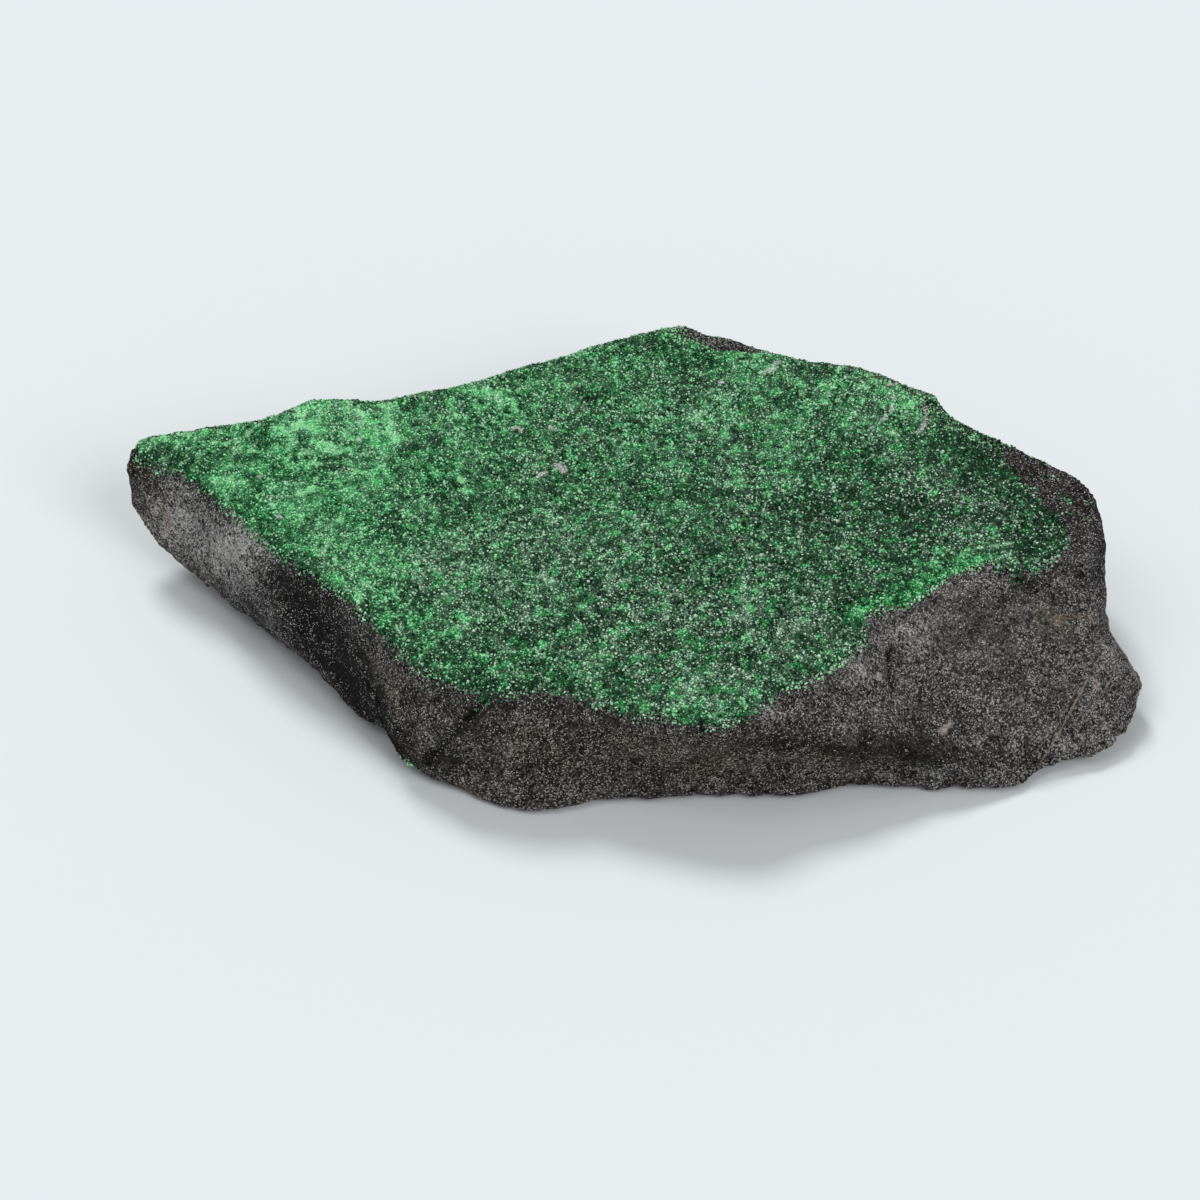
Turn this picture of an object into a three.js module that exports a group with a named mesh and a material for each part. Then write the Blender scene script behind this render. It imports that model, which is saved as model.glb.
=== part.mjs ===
// Uvarovite specimen: a broken slab of chromite rock with a crust of grown-together green garnet
// crystals over its upper face. Millimetres, +Z up, lying on its flat underside.
// Seen from above, the slab's narrow tip points to -X and its long broken front edge faces -Y.

import * as THREE from "three";
import { ImprovedNoise } from "three/addons/math/ImprovedNoise.js";

// Driving dimensions, millimetres.
const FACE_HEIGHT = 13; // the crystal face above the surface that the slab lies on
const CRUST_THICKNESS = 0.45;
const CRUST_GAP = 0.25; // between the crust's underside and the rock
const CRUST_INSET = 0.3; // from the rock's rim to the crust's edge, where the crust is whole
const RIM_WIDTH = 0.7; // the worn rim round the rock's upper face
const RIM_DROP = 0.3;
const BASE_INSET = 2.5; // from the foot of the slab's side to its flat underside
const UNDERCUT = 1.1; // further inset for each millimetre that the foot is off the ground
const REST_PATCH = { x: 3, y: -2, halfLength: 15, halfWidth: 9 }; // plain middle of the underside

// How finely the surfaces are divided.
const COLUMNS = 144; // round the slab
const SPACING_SAMPLES = 1440; // along an outline, before the columns are picked from it
const FACE_RINGS = [0.1, 0.25, 0.45, 0.65, 0.82]; // across the rock's hidden upper face
const CRUST_RINGS = [0.1, 0.25, 0.42, 0.6, 0.78, 0.92, 1];
const SIDE_STEPS = [4, 3, 3, 2]; // rim to ridge, ridge to hollow, hollow to foot, foot to underside

// The middle that every outline is seen whole from.
const MIDDLE = new THREE.Vector2(3, 4);

// The slab's outlines, anticlockwise from the narrow tip: along the front, then back along the far side.
// The rim lies on the upper face, so it needs no height.
const rim = [
  [-43, 5.3], [-41.4, 3.2], [-38.1, 1.2], [-36.5, -0.3], [-30.5, -7.6], [-26.9, -11.1], [-25, -12.3],
  [-21.9, -15.6], [-19.5, -18.8], [-15.8, -22.7], [-13.6, -24.1], [-10.3, -25.7], [-3.1, -25.5],
  [2, -27.2], [6.6, -28.5], [9.7, -28.9], [12.4, -28.2], [15.1, -25.3], [17.2, -23.7], [19.7, -22.6],
  [23.5, -18.7], [23.8, -14.8], [26.8, -14], [31.3, -10.1], [34.5, -8.2], [38.1, -9], [41, -7.9],
  [43.4, -7.5], [44.7, -5.4], [45, -2.5], [44.4, 1.3], [42.2, 4.9], [37.8, 8.2], [33, 11.5],
  [31.4, 12.6], [30.3, 15], [27.2, 17.4], [22.6, 19.2], [18, 20.5], [12.9, 22], [10.1, 22.9],
  [7.3, 24.8], [3.1, 23.5], [-4.3, 19.7], [-8, 17.7], [-12.5, 15], [-19.2, 12.1], [-21, 11.4],
  [-23.8, 11.8], [-26.6, 11.8], [-28.8, 10.6], [-33.2, 8.2], [-38.6, 7.1],
];

// The break's upper edge below the rim.
const ridge = [
  [-43.8, 4.9, 9.8], [-42, 2.9, 10], [-39.1, 0.9, 10], [-37, -0.4, 9.8], [-34, -4.3, 9.4],
  [-31.3, -7.8, 9], [-27.3, -11.4, 8.2], [-24.5, -13.6, 7.4], [-22.4, -16.7, 6.8], [-19.8, -21, 5.6],
  [-18, -24, 4.8], [-16.5, -23.7, 6.5], [-14.5, -25.3, 6.5], [-12.2, -26.5, 8.2], [-9.8, -26, 9.4],
  [-6.2, -26.5, 7.6], [-3.3, -26.6, 7], [-0.4, -26.8, 7.6], [2.2, -27.2, 8.6], [8.4, -27.8, 8.2],
  [10.8, -28.2, 8.6], [12.7, -28.1, 10.6], [16.3, -27, 9.2], [19.3, -26.6, 8.2], [24.7, -25.4, 6],
  [30.2, -24.4, 4], [34.4, -24, 2], [35.7, -18.2, 5.7], [37, -15.6, 8.2], [39.5, -14.6, 8.6],
  [42.1, -13.2, 8.6], [43.9, -11.2, 9], [44.8, -9.3, 9.2], [45.2, -5, 9], [45.3, -1.5, 8.8],
  [44.6, 1.8, 9], [43, 5.5, 8.6], [38.5, 8.8, 8], [33.5, 12.3, 8.4], [31, 15, 9], [27.8, 18, 9.2],
  [22.5, 19.8, 8.5], [18, 20.6, 8.8], [12.5, 22.8, 9.3], [7.5, 25, 9], [3, 23.8, 8.5],
  [-4.5, 20.8, 8], [-8.5, 18.6, 8.4], [-13, 15.4, 9], [-19.5, 12.6, 9.6], [-24, 12.4, 9.2],
  [-29, 11, 9.4], [-33.5, 8.8, 9.8], [-38.8, 7.6, 10],
];

// The undercut below it, deepest under the long front edge.
const hollow = [
  [-43.9, 4.9, 8.8], [-42.4, 3.1, 8], [-40.3, 1.3, 7], [-38.3, 0, 6], [-35.1, -3.4, 5.5],
  [-31.9, -7, 5], [-28.1, -11.4, 4.6], [-25.5, -13.6, 4.2], [-23, -16.1, 4.2], [-21.7, -18.6, 3.8],
  [-20, -20.8, 3.6], [-17.9, -23.4, 3], [-16.6, -24.2, 3.8], [-15, -25.5, 3], [-12.6, -25.6, 3.6],
  [-9.9, -26.3, 4.6], [-6.4, -26.8, 4], [-3.4, -26.9, 3.6], [-0.3, -26.5, 4], [2.3, -25.8, 4.8],
  [5.1, -26.2, 4.8], [8.8, -26.2, 4.6], [11.5, -26.1, 4.6], [16.5, -25.7, 4.6], [22.4, -24.9, 3.8],
  [28.2, -24.1, 2.6], [33.1, -23.9, 1.6], [34.8, -24, 1.2], [36.2, -23.1, 2], [38.1, -20.5, 3.8],
  [39.9, -19.6, 4.2], [42.4, -17.3, 5.2], [43.7, -16, 5.8], [47.9, -13.4, 4.6], [46.2, -9, 5.4],
  [45.3, -4, 5], [44.9, -0.5, 4.8], [44, 3, 5], [42.8, 6.8, 4.4], [39.5, 10.8, 4], [34.5, 14.2, 4.6],
  [31, 15.8, 5], [27, 18.8, 4.8], [22, 19.6, 4.4], [17, 21.4, 4.6], [12, 23.4, 5], [7, 24.4, 4.6],
  [2.5, 22.8, 4.4], [-4.5, 21.4, 4], [-9, 18, 4.6], [-14, 14.2, 5], [-20, 12, 5.6], [-25, 12.6, 5],
  [-29.5, 10.4, 5.2], [-34, 8, 6], [-39, 6.8, 7.4],
];

// The foot, where the sides turn under.
const foot = [
  [-43.4, 4.8, 7.2], [-42.8, 3.7, 6], [-41.4, 2.6, 4.6], [-39.7, 1.4, 3.4], [-35.7, -2.1, 2.4],
  [-32.1, -5.6, 2], [-28.2, -9.9, 2.2], [-25, -13.1, 2.2], [-23.4, -15.4, 2.2], [-22.2, -17.7, 2],
  [-20, -20.2, 1.8], [-17.8, -23.1, 1.6], [-16.5, -24, 1.2], [-14.6, -25.1, 0.8], [-11, -26.4, 0.7],
  [-8.4, -27.9, 0.5], [-3.5, -28.4, 0.5], [0, -27.3, 0.5], [4, -26.7, 0.5], [9.2, -26, 0.5],
  [15.9, -26, 0.5], [19.5, -25.7, 0.5], [22.1, -24.5, 0.5], [26, -24.5, 0.5], [32.4, -24.1, 0.5],
  [35.8, -24, 0.5], [37.6, -23.4, 0.6], [40.5, -21.2, 1], [44.5, -20.1, 1.2], [46.6, -17.9, 1.6],
  [47.9, -15.4, 2.2], [48.3, -13.5, 3], [47.3, -10.5, 2.4], [45.8, -6.5, 1.6], [45, -2, 1.2],
  [44, 2.5, 1], [42, 7, 0.8], [38.5, 11, 0.6], [33.5, 14, 0.6], [30, 14.8, 0.8], [26, 17, 0.8],
  [21, 18.4, 0.6], [16, 20.4, 0.6], [11, 22, 0.8], [6.5, 22.4, 0.8], [2, 21, 0.6], [-4.5, 19.6, 0.6],
  [-9, 16.4, 0.8], [-14, 12.8, 1], [-20, 10.6, 1.2], [-25, 11, 1.2], [-30, 8.8, 1.6],
  [-34.5, 6.8, 2.8], [-39.5, 6, 4.8],
];

// Where the crust stops short of the rim and the rock shows: bearing from the middle, width, spread.
const bareStretches = [
  { bearing: 2, width: 4.2, spread: 7 },
  { bearing: 18, width: 1.6, spread: 8 },
  { bearing: 72, width: 1.3, spread: 11 },
];

const noise = new ImprovedNoise();

/** Uneven ground of about this wavelength, between -1 and 1. */
function unevenness(point, wavelength) {
  return noise.noise(point.x / wavelength, point.y / wavelength, point.z / wavelength);
}

/** Height of the crystal face: nearly level, falling to the front edge and the tip, with one swell. */
function faceHeight(x, y) {
  const frontFall = 0.003 * Math.max(0, -6 - y) ** 2;
  const tipFall = 0.012 * Math.max(0, -34 - x) ** 2;
  const swell = 0.5 * Math.exp(-((x + 26) ** 2 + (y - 9) ** 2) / 128);
  const ripple = 0.15 * noise.noise(x / 9, y / 9, 0.5);
  return FACE_HEIGHT - frontFall - tipFall + swell + ripple;
}

/** An outline as many points, evenly spaced. */
function spaced(outline) {
  const corners = outline.map(([x, y, z = 0]) => new THREE.Vector3(x, y, z));
  return new THREE.CatmullRomCurve3(corners, true, "centripetal").getSpacedPoints(SPACING_SAMPLES);
}

function bearingOf(point) {
  return Math.atan2(point.y - MIDDLE.y, point.x - MIDDLE.x);
}

/** Where an outline crosses the line from the middle at this bearing. */
function crossing(points, bearing) {
  const across = new THREE.Vector2(-Math.sin(bearing), Math.cos(bearing));
  const along = new THREE.Vector2(Math.cos(bearing), Math.sin(bearing));
  const side = (point) => (point.x - MIDDLE.x) * across.x + (point.y - MIDDLE.y) * across.y;
  const ahead = (point) => (point.x - MIDDLE.x) * along.x + (point.y - MIDDLE.y) * along.y;
  for (let i = 1; i < points.length; i += 1) {
    const before = side(points[i - 1]);
    const after = side(points[i]);
    if (before <= 0 && after > 0 && ahead(points[i]) > 0) {
      return points[i - 1].clone().lerp(points[i], before / (before - after));
    }
  }
  throw new Error("an outline isn't closed round the middle");
}

/** Width of bare rock between the rim and the crust at this bearing. */
function bareWidth(bearing) {
  const degrees = THREE.MathUtils.radToDeg(bearing);
  const widths = bareStretches.map(({ bearing: at, width, spread }) => {
    const turned = THREE.MathUtils.euclideanModulo(degrees - at + 180, 360) - 180;
    return width * Math.exp(-((turned / spread) ** 2));
  });
  return CRUST_INSET + widths.reduce((sum, width) => sum + width, 0);
}

/** A point moved towards or away from the middle, level with itself. */
function movedIn(point, distance) {
  const outward = new THREE.Vector3(point.x - MIDDLE.x, point.y - MIDDLE.y, 0);
  const reach = outward.length();
  return point.clone().addScaledVector(outward, -distance / reach);
}

/** The same point a share of the way from the middle. */
function shareOut(point, share) {
  const x = MIDDLE.x + (point.x - MIDDLE.x) * share;
  const y = MIDDLE.y + (point.y - MIDDLE.y) * share;
  return new THREE.Vector3(x, y, point.z);
}

function atHeight(point, height) {
  return new THREE.Vector3(point.x, point.y, height);
}

/** Rings between two rings, the first left out and the last kept, made uneven on the way. */
function sideRings(from, to, steps, relief) {
  return Array.from({ length: steps }, (_, index) => {
    const share = (index + 1) / steps;
    return from.map((start, column) => {
      const point = start.clone().lerp(to[column], share);
      const lump = 0.7 * unevenness(point, 5.5) + 0.35 * unevenness(point, 2.6);
      return movedIn(point, relief * lump * (index + 1 < steps ? 1 : 0.5));
    });
  });
}

/** Joins rings of equal length into a band of triangles, running from the first ring to the last. */
function band(firstRing, ringCount) {
  const triangles = [];
  for (let ring = 0; ring < ringCount - 1; ring += 1) {
    for (let column = 0; column < COLUMNS; column += 1) {
      const next = (column + 1) % COLUMNS;
      const here = firstRing + ring * COLUMNS;
      const below = here + COLUMNS;
      triangles.push(here + column, below + column, below + next);
      triangles.push(here + column, below + next, here + next);
    }
  }
  return triangles;
}

/** A fan that closes a ring on one point. */
function fan(ringStart, centre, facingUp) {
  const triangles = [];
  for (let column = 0; column < COLUMNS; column += 1) {
    const next = (column + 1) % COLUMNS;
    const edge = facingUp ? [column, next] : [next, column];
    triangles.push(centre, ringStart + edge[0], ringStart + edge[1]);
  }
  return triangles;
}

/** Closes the underside's last ring on a plain oblong of four corners, all at the same height. */
function restPatch(ringStart, ring, firstCorner) {
  const corners = [[1, 1], [-1, 1], [-1, -1], [1, -1]];
  const quarter = (point) => {
    if (point.y >= MIDDLE.y) return point.x >= MIDDLE.x ? 0 : 1;
    return point.x < MIDDLE.x ? 2 : 3;
  };
  const triangles = [];
  for (let column = 0; column < COLUMNS; column += 1) {
    const next = (column + 1) % COLUMNS;
    const corner = firstCorner + quarter(ring[column]);
    const nextCorner = firstCorner + quarter(ring[next]);
    triangles.push(ringStart + column, corner, ringStart + next);
    if (corner !== nextCorner) {
      triangles.push(corner, nextCorner, ringStart + next);
    }
  }
  triangles.push(firstCorner, firstCorner + 2, firstCorner + 1);
  triangles.push(firstCorner, firstCorner + 3, firstCorner + 2);
  const { x, y, halfLength, halfWidth } = REST_PATCH;
  const points = corners.map(
    ([right, far]) => new THREE.Vector3(x + right * halfLength, y + far * halfWidth, 0),
  );
  return { points, triangles };
}

function solid(points, triangles) {
  const geometry = new THREE.BufferGeometry();
  const places = points.flatMap((point) => [point.x, point.y, point.z]);
  geometry.setAttribute("position", new THREE.Float32BufferAttribute(places, 3));
  geometry.setIndex(triangles);
  geometry.computeVertexNormals();
  return geometry;
}

// The bearings of the columns, evenly spaced along the rim.
const rimPoints = spaced(rim);
const bearings = Array.from({ length: COLUMNS }, (_, column) =>
  bearingOf(rimPoints[Math.round((column * SPACING_SAMPLES) / COLUMNS)]),
);

function ringOf(outline) {
  const points = spaced(outline);
  return bearings.map((bearing) => crossing(points, bearing));
}

const rimRing = ringOf(rim);

/** The chromite slab: its upper face under the crust, its broken sides and its flat underside. */
function chromiteMatrix() {
  const rockHeight = (point) => faceHeight(point.x, point.y) - CRUST_THICKNESS - CRUST_GAP;
  const faceRings = FACE_RINGS.map((share) =>
    rimRing.map((point) => {
      const inner = shareOut(point, share);
      return atHeight(inner, rockHeight(inner));
    }),
  );
  const wornRing = rimRing.map((point) => {
    const inner = movedIn(point, RIM_WIDTH);
    return atHeight(inner, rockHeight(inner));
  });
  const brokenRim = rimRing.map((point) => atHeight(point, rockHeight(point) - RIM_DROP));
  const ridgeRing = ringOf(ridge);
  const hollowRing = ringOf(hollow);
  const footRing = ringOf(foot);
  const baseRing = footRing.map((point) =>
    atHeight(movedIn(point, BASE_INSET + UNDERCUT * point.z), 0),
  );

  const rings = [...faceRings, wornRing, brokenRim];
  rings.push(...sideRings(brokenRim, ridgeRing, SIDE_STEPS[0], 0.5));
  rings.push(...sideRings(ridgeRing, hollowRing, SIDE_STEPS[1], 0.6));
  rings.push(...sideRings(hollowRing, footRing, SIDE_STEPS[2], 0.5));
  rings.push(...sideRings(footRing, baseRing, SIDE_STEPS[3], 0.2));

  const points = rings.flat();
  const lastRing = points.length - COLUMNS;
  const centre = points.length;
  points.push(new THREE.Vector3(MIDDLE.x, MIDDLE.y, rockHeight(MIDDLE)));
  const patch = restPatch(lastRing, rings.at(-1), points.length);
  points.push(...patch.points);
  return solid(points, [...fan(0, centre, true), ...band(0, rings.length), ...patch.triangles]);
}

/** The crust of crystals, a thin sheet that follows the face and stops where the rock shows. */
function crystalCrust() {
  const edge = rimRing.map((point, column) => movedIn(point, bareWidth(bearings[column])));
  const sheet = (depth) =>
    CRUST_RINGS.map((share) =>
      edge.map((point) => {
        const inner = shareOut(point, share);
        return atHeight(inner, faceHeight(inner.x, inner.y) - depth);
      }),
    );
  const upper = sheet(0);
  const under = sheet(CRUST_THICKNESS).reverse();
  const points = [...upper, ...under].flat();
  const upperCentre = points.length;
  const height = faceHeight(MIDDLE.x, MIDDLE.y);
  points.push(new THREE.Vector3(MIDDLE.x, MIDDLE.y, height));
  points.push(new THREE.Vector3(MIDDLE.x, MIDDLE.y, height - CRUST_THICKNESS));
  const lastRing = upperCentre - COLUMNS;
  return solid(points, [
    ...fan(0, upperCentre, true),
    ...band(0, upper.length + under.length),
    ...fan(lastRing, upperCentre + 1, false),
  ]);
}

const rockMaterial = new THREE.MeshStandardMaterial({ color: 0x3f3e3c, roughness: 0.75, metalness: 0.1 });
const crystalMaterial = new THREE.MeshStandardMaterial({ color: 0x2f8a48, roughness: 0.35, metalness: 0 });

const matrix = new THREE.Mesh(chromiteMatrix(), rockMaterial);
matrix.name = "chromite_matrix";
const crust = new THREE.Mesh(crystalCrust(), crystalMaterial);
crust.name = "uvarovite_crust";

// The origin is under the middle of the slab, on the surface that it lies on.
const specimen = new THREE.Group();
specimen.add(matrix, crust);
const extent = new THREE.Box3().setFromObject(specimen);
const centre = extent.getCenter(new THREE.Vector3());
specimen.position.set(-centre.x, -centre.y, 0);

export default specimen;
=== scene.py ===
"""Uvarovite specimen: a broken slab of chromite rock with a crust of green garnet crystals on its top.

Everything is made in metres, with +Z up. Sizes and places named below are in millimetres.
"""
import math

import bmesh
import bpy
import numpy as np
from mathutils import Matrix, Vector, kdtree, noise
from mathutils.bvhtree import BVHTree


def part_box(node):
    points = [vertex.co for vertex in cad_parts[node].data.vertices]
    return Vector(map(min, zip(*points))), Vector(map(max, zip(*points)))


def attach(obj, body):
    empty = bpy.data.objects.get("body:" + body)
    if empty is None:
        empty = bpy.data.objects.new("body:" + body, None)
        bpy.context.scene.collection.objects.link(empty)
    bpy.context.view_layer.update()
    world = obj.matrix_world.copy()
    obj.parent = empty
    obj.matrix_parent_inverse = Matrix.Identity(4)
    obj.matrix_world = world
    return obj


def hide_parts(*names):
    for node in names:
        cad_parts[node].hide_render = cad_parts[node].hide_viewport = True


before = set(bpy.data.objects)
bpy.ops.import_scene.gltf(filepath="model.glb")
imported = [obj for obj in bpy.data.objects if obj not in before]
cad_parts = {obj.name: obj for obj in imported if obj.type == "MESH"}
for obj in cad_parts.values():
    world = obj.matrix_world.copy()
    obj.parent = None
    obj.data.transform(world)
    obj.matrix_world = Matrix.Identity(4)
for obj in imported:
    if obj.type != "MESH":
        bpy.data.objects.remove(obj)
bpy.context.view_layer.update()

MM = 0.001

# The view: the ground point in the middle of the picture, and where the camera stands from it.
VIEW_MIDDLE = Vector((-2.4, 1.9, 0)) * MM
VIEW_DISTANCE = 458 * MM
VIEW_ELEVATION = 42.1
VIEW_ROLL = 1.45
LENS = 150
SENSOR = 36
# In metres.
NEAREST_SEEN = 0.01
FARTHEST_SEEN = 20
FLOOR_SIZE = 12

# The studio: a pale floor, even light from all round, one lamp that casts the shadow and two weaker ones.
PALE = (0.806, 0.847, 0.871, 1)
SKY_STRENGTH = 0.31
# Each lamp: its bearing and height in degrees, how wide it looks, and its share of the floor's light.
LAMPS = ((117, 54, 17, 0.38), (200, 60, 32, 0.10), (-50, 42, 32, 0.21))

# The rock's shape: its lumps, each a size and a depth, its chips, and its flatter top, a little raised.
ROCK_GRAIN = 0.345
LUMPS = ((7.0, 0.28), (3.0, 0.20), (1.4, 0.13))
CHIP_SIZE = 3.2
CHIP_DEPTH = 0.22
TILT_STIR = 7.3
ROCK_JITTER = 0.03
# How upright a face's normal is where the top or the base begins, and where it is full.
LEVEL_FROM, LEVEL_TO = 0.75, 0.95
TOP_ABOVE, BASE_BELOW = 8, 1
TOP_FLATTENED = 0.6
ROCK_LIFT = 0.45
LOWEST = 0.01

# The rock's finish: how strongly each kind of grain lightens or darkens it.
ROCK_BRIGHTNESS = 0.47
# Painted shade and light: the rock is made darker in its hollows and grooves and lighter on its lumps, by
# this much per millimetre of relief.
RELIEF_PAINTED_SHADE = 0.35
GROUND_CONTRAST, GROUND_SMOOTHED = 2.5, 0.75
BROAD_CONTRAST = 0.4
CELL_CONTRAST = 0.4
FLECK_SIZE = 0.12
# The flecks' brightness is partly their pale grains and partly painted glints.
FLECK_AND_GLINT_BRIGHTNESS, FLECKS_SMOOTHED = 3.6, 0.8
FLECKS_APART, FLECKS_CLUSTERED = 0.2, 1.2
PIT_DARKNESS = 0.3
PATCH_STRENGTH = 0.35
SMOOTH_UNEVEN = 1.2
ROCK_RELIEF = 0.26
ROCK_GREYS = (
    (0.0, (0.004, 0.0037, 0.0035)),
    (0.3, (0.025, 0.0225, 0.0208)),
    (0.5, (0.069, 0.0642, 0.0615)),
    (0.7, (0.160, 0.154, 0.150)),
    (0.85, (0.330, 0.320, 0.310)),
    (1.0, (0.760, 0.750, 0.730)),
)
BROWN = (0.58, 0.50, 0.34)
RUST = (0.40, 0.28, 0.21)
SEAM_PALE = (0.50, 0.42, 0.34)
PALE_STONE = (0.78, 0.69, 0.58)

# The crystals' finish.
GREENS = (
    (0.0, (0.0003, 0.004, 0.001)),
    (0.26, (0.0015, 0.025, 0.006)),
    (0.45, (0.017, 0.122, 0.038)),
    (0.62, (0.052, 0.320, 0.098)),
    (0.8, (0.120, 0.610, 0.205)),
    (1.0, (0.400, 0.900, 0.480)),
)
GREEN_SHINE = (0.3, 1, 0.5, 1)
LIGHT_GREEN = (0.50, 1.0, 0.55)
PINK_GREY = (0.76, 0.72, 0.72)
LIGHT_RAISES, LIGHT_COVERS = 0.4, 0.75
GREEN_RELIEF = 0.06

# How bright and how grey the crystals are before their marks.
FACE_BRIGHTNESS = 0.512
FACE_GREYNESS = 0.19

# The crust's shape.
CRUST_STEP = 0.3
CRUST_DEPTH = 0.6
CRUST_TAPER = 0.5
CRUST_SINK = 0.6
CRUST_BELOW = 0.06
# How much the crust's tones are narrowed, and how much darker it is made: painted shade in the gaps between
# the crystals.
CRUST_CONTRAST, CRUST_GAP_SHADE = 0.8, 0.15
# How far the crust's edge, and that of the crystals on it, wander off the line of the CAD crust.
CRUST_WANDERS, CRYSTALS_WANDER = 0.2, 0.35

# The crystals. The smallest have a simpler form, made a little larger to fill the same room.
CRYSTAL_SPACING = 0.205
CRYSTAL_SIZE = 0.178
SIZE_SPREAD = 0.3
TONE_SPREAD, GREY_SPREAD = 0.25, 0.1
SMALLEST, SIMPLE_BELOW, LARGEST = 0.12, 0.26, 0.5
SIMPLE_SWELL = 1.25
# How far a crystal's middle lies below or above the surface, as a share of its size.
DEEPEST, HIGHEST = -0.25, 0.1
# Crystals stand only above this height, and where the surface's normal points up at least this much.
LEAST_HEIGHT = 9.5
LEAST_UP = 0.3
# Some crystals are painted nearly white as painted glints: their share, how much it grows with the grey,
# and their looks.
GLINT_SHARE, GLINT_WITH_GREY = 0.01, 0.2
GLINT_TONE, GLINT_GREY, GLINT_SIZE = 0.93, 0.6, 0.85
GREEN_DARKER = 0.02
STRIPS = 4

# The height in metres that rays are sent down from.
ABOVE_ALL = 0.03
# Points of a CAD mesh this close together are one point.
WELD_WITHIN = 0.001

# The starts of the random draws.
ROCK_SEED = 3
CRYSTAL_SEED = 7


def make_camera():
    """The camera of the picture, on a long lens, with depth of field left off."""
    elevation = math.radians(VIEW_ELEVATION)
    roll = math.radians(VIEW_ROLL)
    ahead = Vector((0, math.cos(elevation), -math.sin(elevation)))
    right = Vector((1, 0, 0))
    up = right.cross(ahead)
    across = right * math.cos(roll) + up * math.sin(roll)
    upward = up * math.cos(roll) - right * math.sin(roll)
    data = bpy.data.cameras.new("camera")
    data.lens = LENS
    data.sensor_width = SENSOR
    data.clip_start = NEAREST_SEEN
    data.clip_end = FARTHEST_SEEN
    camera = bpy.data.objects.new("camera", data)
    bpy.context.collection.objects.link(camera)
    turned = Matrix((across, upward, -ahead)).transposed().to_4x4()
    camera.matrix_world = Matrix.Translation(VIEW_MIDDLE - ahead * VIEW_DISTANCE) @ turned
    bpy.context.scene.camera = camera


def make_floor():
    """A plain pale floor."""
    bpy.ops.mesh.primitive_plane_add(size=FLOOR_SIZE)
    floor = bpy.context.object
    floor.name = "floor"
    material = bpy.data.materials.new("pale_floor")
    material.use_nodes = True
    shader = material.node_tree.nodes["Principled BSDF"]
    shader.inputs["Base Color"].default_value = PALE
    shader.inputs["Roughness"].default_value = 1
    shader.inputs["Specular IOR Level"].default_value = 0
    floor.data.materials.append(material)


def make_light():
    """Even light from all round and the lamps."""
    world = bpy.data.worlds.new("studio")
    bpy.context.scene.world = world
    world.use_nodes = True
    background = world.node_tree.nodes["Background"]
    background.inputs["Color"].default_value = (1, 1, 1, 1)
    background.inputs["Strength"].default_value = SKY_STRENGTH
    for number, (bearing, height, width, share) in enumerate(LAMPS):
        bearing = math.radians(bearing)
        height = math.radians(height)
        data = bpy.data.lights.new(f"lamp_{number}", "SUN")
        data.energy = share * math.pi / math.sin(height)
        data.angle = math.radians(width)
        lamp = bpy.data.objects.new(f"lamp_{number}", data)
        bpy.context.collection.objects.link(lamp)
        downward = Vector((-math.cos(bearing), -math.sin(bearing), -math.tan(height)))
        lamp.rotation_euler = downward.to_track_quat("-Z", "Y").to_euler()
    bpy.context.scene.view_settings.view_transform = "Standard"


class Link:
    """The output of a shader node. Sums, differences and products add Math nodes."""

    def __init__(self, finish, socket):
        self.finish = finish
        self.socket = socket

    def math(self, operation, first, second):
        """One Math node, on links or numbers."""
        return self.finish.node("ShaderNodeMath", {"operation": operation}, {0: first, 1: second})

    def __add__(self, other):
        return self.math("ADD", self, other)

    def __radd__(self, other):
        return self.math("ADD", other, self)

    def __sub__(self, other):
        return self.math("SUBTRACT", self, other)

    def __rsub__(self, other):
        return self.math("SUBTRACT", other, self)

    def __mul__(self, other):
        return self.math("MULTIPLY", self, other)

    def __rmul__(self, other):
        return self.math("MULTIPLY", other, self)


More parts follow.
